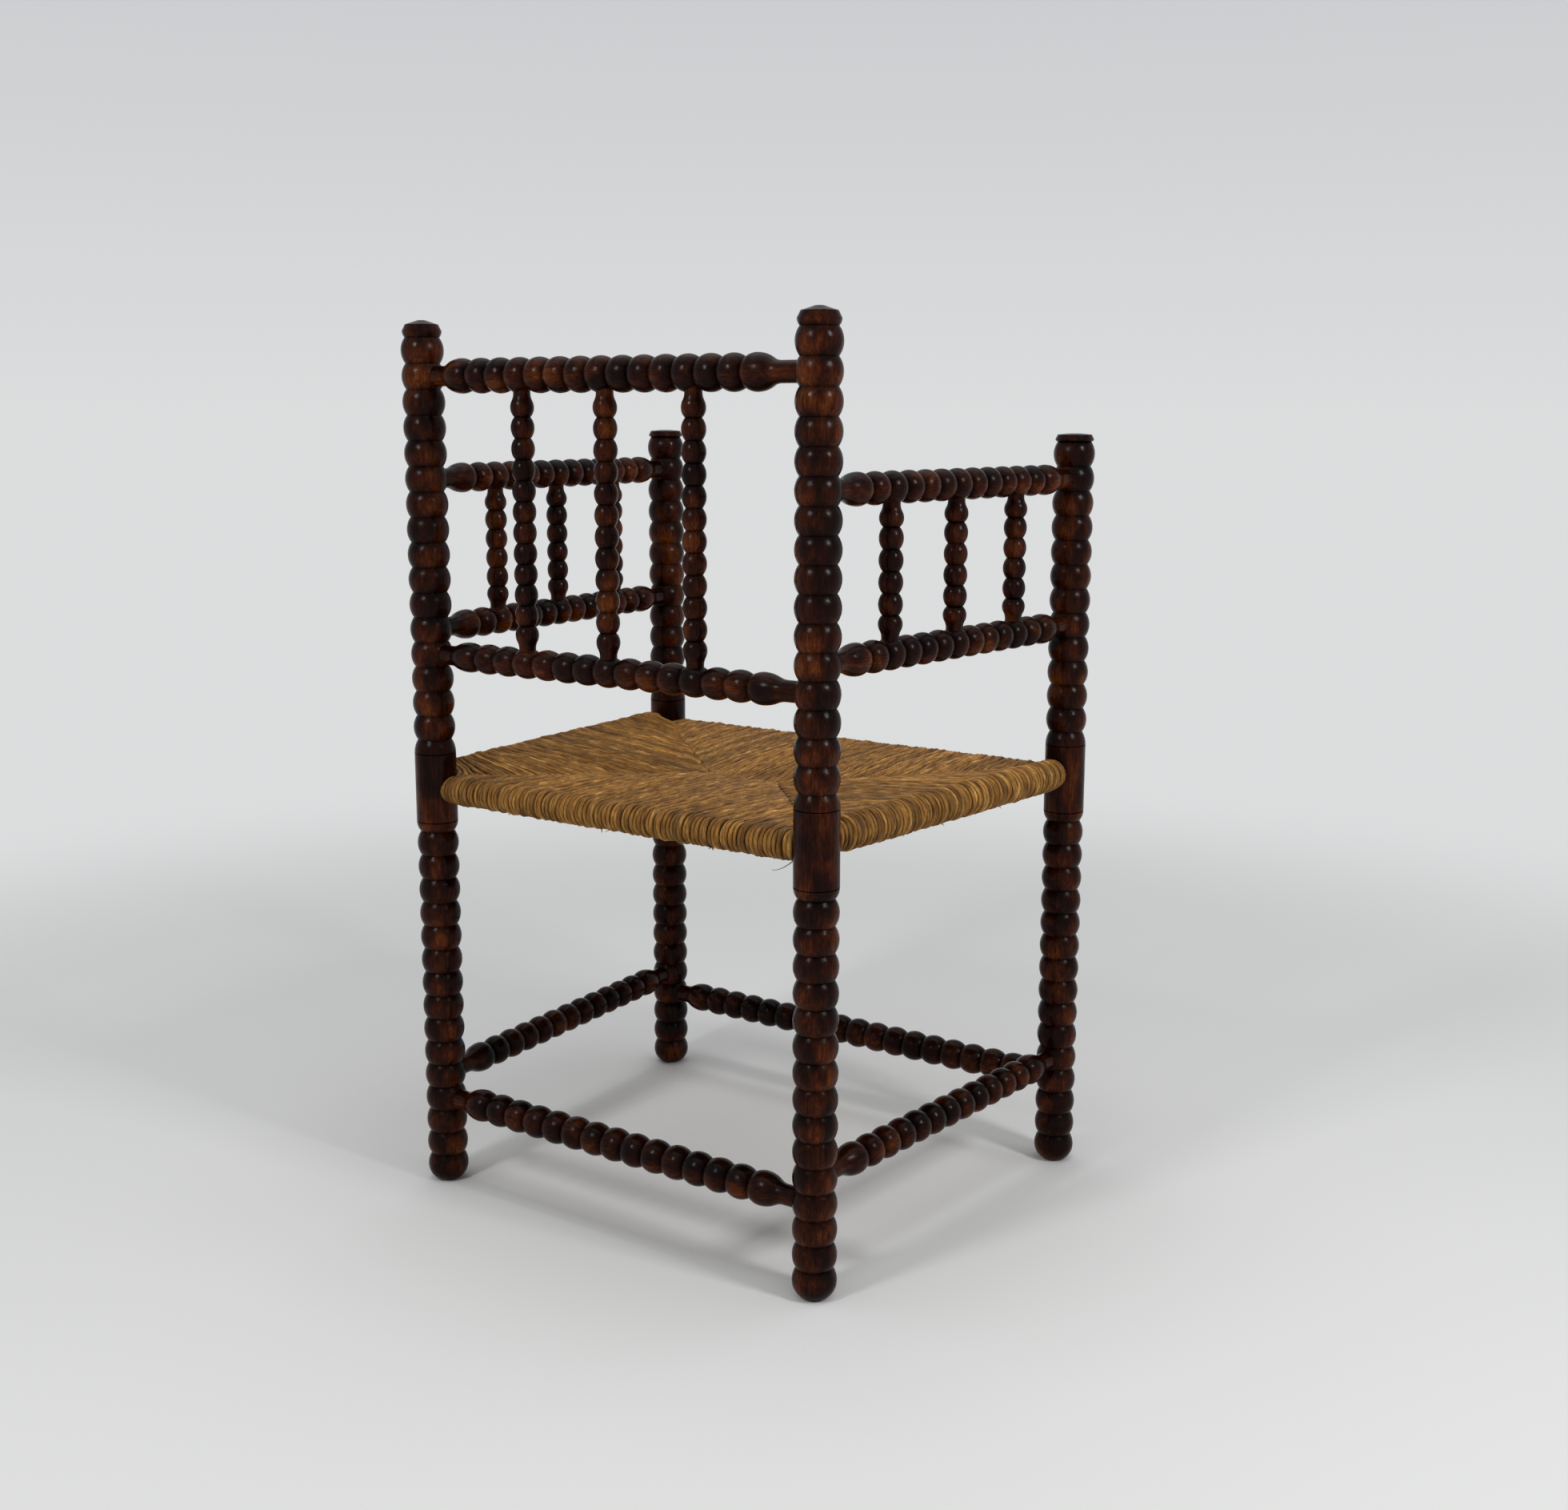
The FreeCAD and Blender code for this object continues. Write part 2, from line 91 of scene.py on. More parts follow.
def scaled(tree, vector, scale):
    node = add_node(tree, "ShaderNodeVectorMath", operation="MULTIPLY")
    node.inputs[1].default_value = scale
    tree.links.new(vector, node.inputs[0])
    return node.outputs["Vector"]


def noise(tree, vector, scale, detail, roughness=0.55, distortion=0.0):
    node = add_node(tree, "ShaderNodeTexNoise")
    node.inputs["Scale"].default_value = scale
    node.inputs["Detail"].default_value = detail
    node.inputs["Roughness"].default_value = roughness
    node.inputs["Distortion"].default_value = distortion
    tree.links.new(vector, node.inputs["Vector"])
    return node.outputs["Fac"]


def ramp(tree, value, stops):
    node = add_node(tree, "ShaderNodeValToRGB")
    elements = node.color_ramp.elements
    while len(elements) < len(stops):
        elements.new(0.5)
    for element, (position, colour) in zip(elements, stops):
        element.position = position
        element.color = (*colour, 1)
    tree.links.new(value, node.inputs["Fac"])
    return node.outputs["Color"]


def grey(value):
    return (value, value, value)


def mixed(tree, blend, factor, first, second):
    node = add_node(tree, "ShaderNodeMix", data_type="RGBA", blend_type=blend)
    for name, value in (("Factor", factor), ("A", first), ("B", second)):
        socket = next(s for s in node.inputs if s.name == name and s.enabled)
        if isinstance(value, (float, int)):
            socket.default_value = value
        elif isinstance(value, tuple):
            socket.default_value = (*value, 1)
        else:
            tree.links.new(value, socket)
    return next(s for s in node.outputs if s.enabled)


def math_node(tree, operation, first, second=None):
    node = add_node(tree, "ShaderNodeMath", operation=operation)
    for index, value in enumerate((first, second)):
        if value is None:
            continue
        if isinstance(value, (float, int)):
            node.inputs[index].default_value = value
        else:
            tree.links.new(value, node.inputs[index])
    return node.outputs["Value"]


def bump(tree, shader, heights):
    """Stack bumps: each is a height, its distance in metres and its strength."""
    normal = None
    for height, distance, strength in heights:
        node = add_node(tree, "ShaderNodeBump")
        node.inputs["Strength"].default_value = strength
        node.inputs["Distance"].default_value = distance
        tree.links.new(height, node.inputs["Height"])
        if normal:
            tree.links.new(normal, node.inputs["Normal"])
        normal = node.outputs["Normal"]
    tree.links.new(normal, shader.inputs["Normal"])


def wood_material(name, origin, rotation, seed):
    """Dark stained wood whose grain runs along the piece. Painted shade leaves the swell of the
    beads lighter and the grooves nearly black, over the stain and wax that lie there, and
    darkens the faces that look up."""
    material, tree, shader = new_material(name)
    links = tree.links
    position = local_position(tree, origin, rotation)
    shift = add_node(tree, "ShaderNodeVectorMath", operation="ADD")
    shift.inputs[1].default_value = (seed * 0.37, seed * 0.91, seed * 1.73)
    links.new(position, shift.inputs[0])
    wood = shift.outputs["Vector"]
    patches = noise(tree, scaled(tree, wood, (1, 1, 0.5)), 34, 4, 0.65)
    streaks = noise(tree, scaled(tree, wood, (1, 1, 0.05)), 560, 5, 0.65, 0.4)
    pores = noise(tree, scaled(tree, wood, (1, 1, 0.08)), 2100, 2)
    stain = ramp(tree, patches, [
        (0.30, (0.0065, 0.0014, 0.0007)), (0.44, (0.0180, 0.0032, 0.0012)),
        (0.55, (0.0540, 0.0100, 0.0022)), (0.70, (0.1500, 0.0360, 0.0060)),
    ])
    grain = ramp(tree, streaks, [(0.34, grey(0.22)), (0.50, grey(0.85)), (0.68, grey(1.60))])
    stained = mixed(tree, "MULTIPLY", 0.85, stain, grain)
    pored = mixed(tree, "MULTIPLY", 0.5, stained,
                  ramp(tree, pores, [(0.36, grey(0.35)), (0.48, grey(1.0))]))
    # Painted shade: an occlusion mask darkens the colour to near black in the grooves of each piece, over
    # the stain and wax that lie there; the same mask lowers the reflection there
    groove = add_node(tree, "ShaderNodeAmbientOcclusion", samples=6, only_local=True)
    groove.inputs["Distance"].default_value = 9 * MM
    groove_wax_and_shade = ramp(tree, groove.outputs["AO"], [(0.45, grey(0.05)), (0.78, grey(0.45)), (0.97, grey(1.0))])
    # Painted shade: faces darken as they turn upward, to about a third of their colour where they face
    # straight up
    facing = add_node(tree, "ShaderNodeSeparateXYZ")
    links.new(add_node(tree, "ShaderNodeNewGeometry").outputs["True Normal"], facing.inputs[0])
    upward = math_node(tree, "ADD", math_node(tree, "MULTIPLY", facing.outputs["Z"], 0.5), 0.5)
    painted_top_shade = ramp(tree, upward, [(0.40, grey(1.0)), (0.70, grey(0.50)), (1.0, grey(0.35))])
    colour = mixed(tree, "MULTIPLY", 1.0, mixed(tree, "MULTIPLY", 1.0, pored, groove_wax_and_shade), painted_top_shade)
    links.new(colour, shader.inputs["Base Color"])
    polish = ramp(tree, noise(tree, wood, 90, 4), [(0.3, grey(0.16)), (0.7, grey(0.29))])
    links.new(polish, shader.inputs["Roughness"])
    shine = ramp(tree, groove.outputs["AO"], [(0.55, grey(0.0)), (0.95, grey(0.075))])
    links.new(shine, shader.inputs["Specular IOR Level"])
    dents = noise(tree, wood, 170, 3)
    bump(tree, shader, [(streaks, 0.25 * MM, 0.35), (pores, 0.08 * MM, 0.3), (dents, 0.5 * MM, 0.35)])
    return material


def grain_rotation(direction):
    """Euler angles that turn +Z to the grain's direction."""
    return Vector((0, 0, 1)).rotation_difference(direction).to_euler()


def grain_direction(name):
    """Which way a wooden piece runs."""
    if "_post_" in name or "_spindle_" in name:
        return Vector((0, 0, 1))
    if name.startswith(("arm", "left", "right")):
        left = name.endswith("left") or name.startswith("left")
        first, last = (BACK_LEFT, FRONT_LEFT) if left else (BACK_RIGHT, FRONT_RIGHT)
        return Vector((last.x - first.x, last.y - first.y, 0)).normalized()
    return Vector((1, 0, 0))


wooden = sorted(name for name in nodes if name != "rush_seat")
for seed, name in enumerate(wooden, start=1):
    piece = nodes[name]
    material = wood_material("wood_" + name, centre_of(name), grain_rotation(grain_direction(name)), seed)
    piece.data.materials.clear()
    piece.data.materials.append(material)


# Rush seat: strands of twisted rush, laid round the seat rails to the seams

STRAND_PITCH = 5.0 * MM
STRAND_RADIUS = 2.6 * MM
STRAND_SIDES = 8
CROSS_LIFT = 0.75 * MM
SIDE_DROP = 1.5 * MM
CROSS_HEIGHT = centre_of("back_seat_rail").z + CROSS_LIFT
SIDE_HEIGHT = centre_of("left_seat_rail").z - SIDE_DROP
CROSS_ROLL = 15.0 * MM
SIDE_ROLL = 18.0 * MM
MIDDLE_TOP = 445 * MM
MIDDLE_BOTTOM = 429 * MM
RIDGE_HALF = 44 * MM
POST_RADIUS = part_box("back_post_left")[1][0] - BACK_LEFT.x


def rush_material():
    """Dry rush: each strand has its own tone and slanting twisted fibres, with painted shade in the
    valleys of the twist and in the gaps beside it.
    """
    material, tree, shader = new_material("rush")
    links = tree.links
    coords = add_node(tree, "ShaderNodeUVMap", uv_map="strand")
    split = add_node(tree, "ShaderNodeSeparateXYZ")
    links.new(coords.outputs["UV"], split.inputs[0])
    tint = add_node(tree, "ShaderNodeAttribute", attribute_name="tint").outputs["Fac"]
    along, around = split.outputs["X"], split.outputs["Y"]

    def place(first, second, third):
        node = add_node(tree, "ShaderNodeCombineXYZ")
        for index, value in enumerate((first, second, third)):
            links.new(value, node.inputs[index])
        return node.outputs["Vector"]

    def times(value, factor):
        return math_node(tree, "MULTIPLY", value, factor)

    twist = math_node(tree, "ADD", times(along, 0.32), times(around, 2.0))
    lay = math_node(tree, "SINE", times(twist, 2 * math.pi))
    fibres = noise(tree, place(times(along, 0.22), times(twist, 1.3), times(tint, 37.0)), 6.0, 4, 0.7)
    patches = noise(tree, place(times(along, 0.14), times(tint, 91.0), times(tint, 13.0)), 3.0, 3, 0.6)
    base = ramp(tree, patches, [
        (0.28, (0.165, 0.066, 0.0120)), (0.45, (0.275, 0.122, 0.0230)),
        (0.58, (0.380, 0.180, 0.0370)), (0.74, (0.620, 0.345, 0.1000)),
    ])
    own = ramp(tree, tint, [(0.0, grey(0.62)), (0.5, grey(1.0)), (1.0, grey(1.32))])
    toned = mixed(tree, "MULTIPLY", 1.0, base, own)
    streaked = mixed(tree, "MULTIPLY", 1.0, toned, ramp(tree, fibres, [
        (0.30, grey(0.30)), (0.44, grey(0.80)), (0.58, grey(1.08)), (0.72, grey(1.60))]))
    # Painted shade: the colour darkens to 0.7 in the valleys of the twist
    laid = mixed(tree, "MULTIPLY", 1.0, streaked, ramp(
        tree, math_node(tree, "ADD", times(lay, 0.5), 0.5), [(0.0, grey(0.70)), (0.3, grey(1.0))]))
    # Painted shade: an occlusion mask darkens the colour to near black in the gaps between the strands
    # and against the rails
    gap = add_node(tree, "ShaderNodeAmbientOcclusion", samples=6)
    gap.inputs["Distance"].default_value = 4 * MM
    dark = ramp(tree, gap.outputs["AO"], [(0.25, grey(0.05)), (0.60, grey(0.55)), (0.88, grey(1.0))])
    links.new(mixed(tree, "MULTIPLY", 1.0, laid, dark), shader.inputs["Base Color"])
    shader.inputs["Roughness"].default_value = 0.55
    shader.inputs["Specular IOR Level"].default_value = 0.18
    bump(tree, shader, [(lay, 0.6 * MM, 0.6), (fibres, 0.7 * MM, 0.8)])
    return material


class StrandMesh:
    """Collects strands as tubes in one mesh, with a position along and around each."""

    def __init__(self):
        self.points = []
        self.faces = []
        self.coords = []
        self.tints = []

    def add(self, path, radii, tint, phase):
        ring_start = len(self.points)
        travelled = 0.0
        up = Vector((0, 0, 1))
        side = None
        for index, point in enumerate(path):
            before = path[max(index - 1, 0)]
            after = path[min(index + 1, len(path) - 1)]
            tangent = (after - before).normalized()
            if side is None:
                side = tangent.cross(up if abs(tangent.z) < 0.9 else Vector((1, 0, 0))).normalized()
            side = (side - tangent * side.dot(tangent)).normalized()
            across = tangent.cross(side)
            if index:
                travelled += (point - before).length
            for step in range(STRAND_SIDES):
                angle = 2 * math.pi * step / STRAND_SIDES
                offset = side * math.cos(angle) + across * math.sin(angle)
                self.points.append(point + offset * radii[index])
                self.coords.append((travelled / 0.01 + phase, step / STRAND_SIDES))
                self.tints.append(tint)
        rings = len(path)
        for ring in range(rings - 1):
            for step in range(STRAND_SIDES):
                following = (step + 1) % STRAND_SIDES
                low = ring_start + ring * STRAND_SIDES
                self.faces.append((low + step, low + following,
                                   low + STRAND_SIDES + following, low + STRAND_SIDES + step))
        self.faces.append(tuple(ring_start + step for step in reversed(range(STRAND_SIDES))))
        last = ring_start + (rings - 1) * STRAND_SIDES
        self.faces.append(tuple(last + step for step in range(STRAND_SIDES)))

    def build(self, name, material):
        mesh = bpy.data.meshes.new(name)
        mesh.from_pydata([tuple(point) for point in self.points], [], self.faces)
        uv_layer = mesh.uv_layers.new(name="strand")
        for polygon in mesh.polygons:
            steps = [mesh.loops[i].vertex_index % STRAND_SIDES for i in polygon.loop_indices]
            wraps = len(steps) == 4 and max(steps) == STRAND_SIDES - 1 and min(steps) == 0
            for loop_index in polygon.loop_indices:
                vertex = mesh.loops[loop_index].vertex_index
                along, around = self.coords[vertex]
                if wraps and vertex % STRAND_SIDES == 0:
                    around = 1.0
                uv_layer.data[loop_index].uv = (along, around)
        attribute = mesh.attributes.new("tint", "FLOAT", "POINT")
        attribute.data.foreach_set("value", self.tints)
        mesh.polygons.foreach_set("use_smooth", [True] * len(mesh.polygons))
        mesh.materials.append(material)
        mesh.update()
        piece = bpy.data.objects.new(name, mesh)
        scene.collection.objects.link(piece)
        return piece


RIDGE_LEFT = Vector((RIDGE_HALF, 0))
RIDGE_RIGHT = Vector((-RIDGE_HALF, 0))

# Each panel: the rail's first and last corner, the ends of the panel's inner edge, and the
# height and radius of its roll
PANELS = {
    "rush_back": (BACK_LEFT, BACK_RIGHT, RIDGE_LEFT, RIDGE_RIGHT, CROSS_HEIGHT, CROSS_ROLL),
    "rush_front": (FRONT_RIGHT, FRONT_LEFT, RIDGE_RIGHT, RIDGE_LEFT, CROSS_HEIGHT, CROSS_ROLL),
    "rush_left": (FRONT_LEFT, BACK_LEFT, RIDGE_LEFT, RIDGE_LEFT, SIDE_HEIGHT, SIDE_ROLL),
    "rush_right": (BACK_RIGHT, FRONT_RIGHT, RIDGE_RIGHT, RIDGE_RIGHT, SIDE_HEIGHT, SIDE_ROLL),
}

# Levels of the strands where the seams start, above and below
CORNER_TOP = 454 * MM
CORNER_BOTTOM = 428 * MM

# How a strand ends at its seam: it lies a little over or under, runs past, dives and turns
SEAM_LIFT = 0.7 * MM
SEAM_OVERLAP = 3.0 * MM
DIVE = 3.0 * MM
SHALLOW_DIVE = 1.5 * MM
DIVE_RUN = 9 * MM
HOOK = 3.0 * MM

# How the strands beside a post lean on it, draw in and fill out
END_REACH = 30 * MM
CROSS_END_DRAW = 1.3 * MM
SIDE_END_DRAW = 4.0 * MM
END_FULLNESS = 0.22

# The rise, fall and ripple of the seat between its roll and its seams
SEAM_CURVE = 0.7
FALL_CURVE = 0.75
CROWN_SHARE = 0.018
CROWN_LIMIT = 3.2 * MM
RIPPLE = 1.3 * MM
RIPPLES_PER_METRE = 38

# How much one strand differs from the next
LONG_STRAND = 5 * STRAND_PITCH
SEAM_SCATTER = 2.0 * MM
ROLL_SCATTER = 0.7 * MM
PLACE_SCATTER = 0.5 * MM
WANDER = 0.8 * MM
BEAT = 0.09

# How finely a strand is drawn
STEP_LENGTH = 5 * MM
ARC_STEPS = 10

# Broken ends under the rolls, the loose end beside a post, and the core inside
STRAYS = 9
STRAY_RADII = [0.55 * MM, 0.5 * MM, 0.42 * MM, 0.35 * MM, 0.2 * MM]
STRAY_SINK = 1.5 * MM
STRAY_SLANT = 0.45
LOOSE_END_STEPS = 8
LOOSE_END_RADIUS = 0.5 * MM
LOOSE_END_DROP = 11 * MM
CORE_INSET = 6 * MM


def flat(point):
    return Vector((point.x, point.y))


def seam_reach(panel, distance):
    """How far in from its rail a strand meets the seam, and how far along the seam that is."""
    first, last, inner_first, inner_last = (flat(point) for point in PANELS[panel][:4])
    along = (last - first).normalized()
    inward = Vector((-along.y, along.x))
    if inward.dot(inner_first - first) < 0:
        inward = -inward
    start = first + along * distance
    best = None
    for edge_first, edge_last, share in ((first, inner_first, (0, 1)), (inner_first, inner_last, (1, 1)),
                                         (inner_last, last, (1, 0))):
        edge = edge_last - edge_first
        if edge.length < 1e-6:
            continue
        cross = inward.x * edge.y - inward.y * edge.x
        if abs(cross) < 1e-9:
            continue
        gap = edge_first - start
        reach = (gap.x * edge.y - gap.y * edge.x) / cross
        place = (gap.x * inward.y - gap.y * inward.x) / cross
        if -1e-6 <= place <= 1 + 1e-6 and reach > -1e-6:
            if best is None or reach > best[0]:
                best = (reach, share[0] + (share[1] - share[0]) * place)
    return best, start, along, inward


def post_swerve(spot, panel):
    """How far a strand leans along its rail to lie against the round of the nearest post."""
    first, last = (flat(point) for point in PANELS[panel][:2])
    nearest = first if (spot - first).length < (spot - last).length else last
    rail = (last - first).normalized()
    gap = spot - nearest
    beside = abs(gap.dot(rail)) - POST_RADIUS
    outward = min(abs(gap.x * rail.y - gap.y * rail.x), POST_RADIUS)
    round_off = POST_RADIUS - math.sqrt(POST_RADIUS ** 2 - outward ** 2)
    share = max(0.0, 1 - beside / END_REACH) ** 2
    return rail * (-math.copysign(round_off * share, gap.dot(rail)))


def strand_path(panel, distance, chance):
    """From the seam below, out round the seat rail, and back in to the seam above."""
    height, roll = PANELS[panel][4:]
    (reach, seam_share), start, along, inward = seam_reach(panel, distance)
    reach = max(reach, STRAND_PITCH)
    if reach > LONG_STRAND:
        reach += SEAM_OVERLAP + chance.uniform(-SEAM_SCATTER, SEAM_SCATTER)
    length = (flat(PANELS[panel][1]) - flat(PANELS[panel][0])).length
    beside = min(distance, length - distance) - POST_RADIUS
    over = height == CROSS_HEIGHT
    end_draw = CROSS_END_DRAW if over else SIDE_END_DRAW
    drawn_in = end_draw * max(0.0, 1 - beside / END_REACH) ** 2
    roll = roll - STRAND_RADIUS - drawn_in + chance.uniform(-ROLL_SCATTER, ROLL_SCATTER)
    fold, dive = (SEAM_LIFT, SHALLOW_DIVE) if over else (-SEAM_LIFT, DIVE)
    inwards = seam_share ** SEAM_CURVE
    seam_top = CORNER_TOP + (MIDDLE_TOP - CORNER_TOP) * inwards - STRAND_RADIUS + fold
    seam_bottom = CORNER_BOTTOM + (MIDDLE_BOTTOM - CORNER_BOTTOM) * inwards + STRAND_RADIUS - fold
    wander = chance.uniform(-WANDER, WANDER)
    sway = chance.uniform(0.3, 0.7)
    hook = math.copysign(1.0, length / 2 - distance) * HOOK

    def run(top):
        edge = height + (roll if top else -roll)
        end = seam_top if top else seam_bottom
        points = []
        steps = max(4, int(reach / STEP_LENGTH))
        for step in range(steps + 1):
            share = step / steps
            spot = start + inward * (reach * share)
            level = edge + (end - edge) * share ** FALL_CURVE
            crown = math.sin(math.pi * share) * min(reach * CROWN_SHARE, CROWN_LIMIT)
            wave = Vector((spot.x * RIPPLES_PER_METRE, spot.y * RIPPLES_PER_METRE, 3.0))
            ripple = smooth.noise(wave) * RIPPLE * min(1, 6 * share)
            ending = max(0.0, 1 - (1 - share) * reach / DIVE_RUN) if reach > 2 * DIVE_RUN else 0.0
            level += (crown + ripple - dive * ending ** 2) * (1 if top else -1)
            bend = math.sin(math.pi * share * 2 * sway) * wander + hook * ending ** 2
            spot = spot + along * bend + post_swerve(spot, panel)
            points.append(Vector((spot.x, spot.y, level)))
        return points

    under = list(reversed(run(False)))
    around = []
    for step in range(1, ARC_STEPS):
        angle = -math.pi / 2 + math.pi * step / ARC_STEPS
        spot = start - inward * (roll * math.cos(angle))
        spot = spot + post_swerve(spot, panel)
        around.append(Vector((spot.x, spot.y, height + roll * math.sin(angle))))
    return under + around + run(True)


def add_strays(mesh, panel, chance):
    """Short broken ends that stand off the underside of the roll."""
    first, last = (flat(point) for point in PANELS[panel][:2])
    height, roll = PANELS[panel][4:]
    rail = (last - first).normalized()
    outward = Vector((rail.y, -rail.x))
    if outward.dot(first) < 0:
        outward = -outward
    for _ in range(STRAYS):
        foot = first + rail * ((last - first).length * chance.uniform(0.1, 0.9))
        angle = chance.uniform(-1.5, -0.5)
        reach = chance.uniform(5, 11) * MM
        lean = chance.uniform(-1.0, 1.0)
        path = []
        for step in range(len(STRAY_RADII)):
            share = step / (len(STRAY_RADII) - 1)
            out = roll - STRAY_SINK + reach * share * STRAY_SLANT
            spot = foot + outward * (out * math.cos(angle)) + rail * (lean * reach * share)
            path.append(Vector((spot.x, spot.y, height + out * math.sin(angle))))
        mesh.add(path, STRAY_RADII, chance.random(), 0)


def add_loose_end(mesh):
    """One long thin end that hangs out below the roll beside the right back post."""
    path = []
    for step in range(LOOSE_END_STEPS + 1):
        share = step / LOOSE_END_STEPS
        drop = LOOSE_END_DROP * math.sin(share * math.pi / 2)
        path.append(Vector((BACK_RIGHT.x + POST_RADIUS + (21 * share - 2) * MM,
                            BACK_RIGHT.y + (8 + 5 * share) * MM,
                            CROSS_HEIGHT - CROSS_ROLL + 3 * MM - drop)))
    radii = [LOOSE_END_RADIUS * (1 - 0.6 * step / LOOSE_END_STEPS) for step in range(len(path))]
    mesh.add(path, radii, 0.0, 0)


def make_panel(panel, material, seed):
    chance = random.Random(seed)
    first, last = (flat(point) for point in PANELS[panel][:2])
    length = (last - first).length
    clear = POST_RADIUS + STRAND_RADIUS
    count = round((length - 2 * clear) / STRAND_PITCH)
    mesh = StrandMesh()
    for strand in range(count + 1):
        distance = clear + (length - 2 * clear) * strand / count
        if 0 < strand < count:
            distance += chance.uniform(-PLACE_SCATTER, PLACE_SCATTER)
        path = strand_path(panel, distance, chance)
        beside = min(distance, length - distance) - POST_RADIUS
        fullness = 1 + END_FULLNESS * max(0.0, 1 - beside / END_REACH)
        thick = STRAND_RADIUS * chance.uniform(0.90, 1.12) * fullness
        beat = chance.uniform(0, 2 * math.pi)
        radii = [thick * (1 + BEAT * math.sin(beat + index * 1.1)) for index in range(len(path))]
        mesh.add(path, radii, chance.random(), chance.uniform(0, 10))
    add_strays(mesh, panel, chance)
    if panel == "rush_back":
        add_loose_end(mesh)
    piece = mesh.build(panel, material)
    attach(piece, "root")
    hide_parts("rush_seat")


rush = rush_material()
for seed, panel in enumerate(PANELS, start=11):
    make_panel(panel, rush, seed)


def make_rush_core():
    """The stuffing between the two layers of strands, seen only as dark between them."""
    corners = [flat(point) for point in (BACK_LEFT, BACK_RIGHT, FRONT_RIGHT, FRONT_LEFT)]
    middle = [RIDGE_LEFT, RIDGE_RIGHT]
    points = []
    layers = ((1, CORNER_TOP, MIDDLE_TOP), (-1, CORNER_BOTTOM, MIDDLE_BOTTOM))
    for side, corner_level, middle_level in layers:
        for corner in corners:
            pulled = corner * (1 - 2 * CORE_INSET / corner.length)
            points.append((pulled.x, pulled.y, corner_level - side * CORE_INSET))
        for corner in middle:
            points.append((corner.x, corner.y, middle_level - side * CORE_INSET))
    faces = [(0, 4, 5, 1), (1, 5, 2), (2, 5, 4, 3), (3, 4, 0)]
    faces += [tuple(index + 6 for index in reversed(face)) for face in faces]
    faces += [(0, 1, 7, 6), (1, 2, 8, 7), (2, 3, 9, 8), (3, 0, 6, 9)]
    mesh = bpy.data.meshes.new("rush_core")
    mesh.from_pydata(points, [], faces)
    mesh.materials.append(rush)
    mesh.update()
    piece = bpy.data.objects.new("rush_core", mesh)
    scene.collection.objects.link(piece)
    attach(piece, "root")
    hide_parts("rush_seat")


make_rush_core()


# Studio: pale floor and backdrop, soft lamps, and the camera


BACKDROP = (0.715, 0.72, 0.725)
BACKDROP_HIGH = (0.60, 0.605, 0.625)
BACKDROP_TOP = 0.22
FLOOR_TONE = (0.71, 0.71, 0.70)
FLOOR_REACH = 20.0
SKY_LOW = (0.095, 0.098, 0.10)
SKY_HIGH = (0.62, 0.635, 0.65)
SKY_TOP = 1.0
SIDE_LAMP = (0.32, 0.42)
TOP_LAMP = (3.0, 3.0)
SWEEP_START = 0.8
SWEEP_END = 2.4


def seen_rays(tree):
    """1 for the rays that see a surface: from the camera, off a mirror or through glass."""
    rays = add_node(tree, "ShaderNodeLightPath")
    seen = math_node(tree, "MAXIMUM", rays.outputs["Is Camera Ray"], rays.outputs["Is Glossy Ray"])
    return math_node(tree, "MAXIMUM", seen, rays.outputs["Is Transmission Ray"])


def show_backdrop(tree, lit, plain_share):
    """Mix a lit surface with the plain backdrop colour, which only the seeing rays meet."""
    plain = add_node(tree, "ShaderNodeEmission")
    plain.inputs["Color"].default_value = (*BACKDROP, 1)
    share = math_node(tree, "MULTIPLY", seen_rays(tree), plain_share)
    mix = add_node(tree, "ShaderNodeMixShader")
    tree.links.new(share, mix.inputs["Fac"])
    tree.links.new(lit, mix.inputs[1])
    tree.links.new(plain.outputs["Emission"], mix.inputs[2])
    return mix.outputs["Shader"]


def make_floor():
    """A pale floor that keeps the chair's shadow and runs into the backdrop farther off."""
    material, tree, shader = new_material("studio_floor")
    shader.inputs["Base Color"].default_value = (*FLOOR_TONE, 1)
    shader.inputs["Roughness"].default_value = 0.9
    shader.inputs["Specular IOR Level"].default_value = 0.1
    coords = add_node(tree, "ShaderNodeTexCoord")
    distance = add_node(tree, "ShaderNodeVectorMath", operation="LENGTH")
    tree.links.new(coords.outputs["Object"], distance.inputs[0])
    blend = add_node(tree, "ShaderNodeMapRange", interpolation_type="SMOOTHERSTEP")
    blend.inputs["From Min"].default_value = SWEEP_START
    blend.inputs["From Max"].default_value = SWEEP_END
    tree.links.new(distance.outputs["Value"], blend.inputs["Value"])
    output = tree.nodes["Material Output"]
    tree.links.new(show_backdrop(tree, shader.outputs["BSDF"], blend.outputs["Result"]),
                   output.inputs["Surface"])
    mesh = bpy.data.meshes.new("studio_floor")
    corners = [(-FLOOR_REACH, -FLOOR_REACH, 0), (FLOOR_REACH, -FLOOR_REACH, 0),
               (FLOOR_REACH, FLOOR_REACH, 0), (-FLOOR_REACH, FLOOR_REACH, 0)]
    mesh.from_pydata(corners, [], [(0, 1, 2, 3)])
    mesh.materials.append(material)
    floor = bpy.data.objects.new("studio_floor", mesh)
    scene.collection.objects.link(floor)


make_floor()


def sky(tree, height, low, high, top):
    """A background that runs from one colour at the horizon to another at a given height."""
    blend = add_node(tree, "ShaderNodeMapRange")
    blend.inputs["From Max"].default_value = top
    tree.links.new(height, blend.inputs["Value"])
    shade = add_node(tree, "ShaderNodeBackground")
    tree.links.new(mixed(tree, "MIX", blend.outputs["Result"], low, high), shade.inputs["Color"])
    return shade.outputs["Background"]


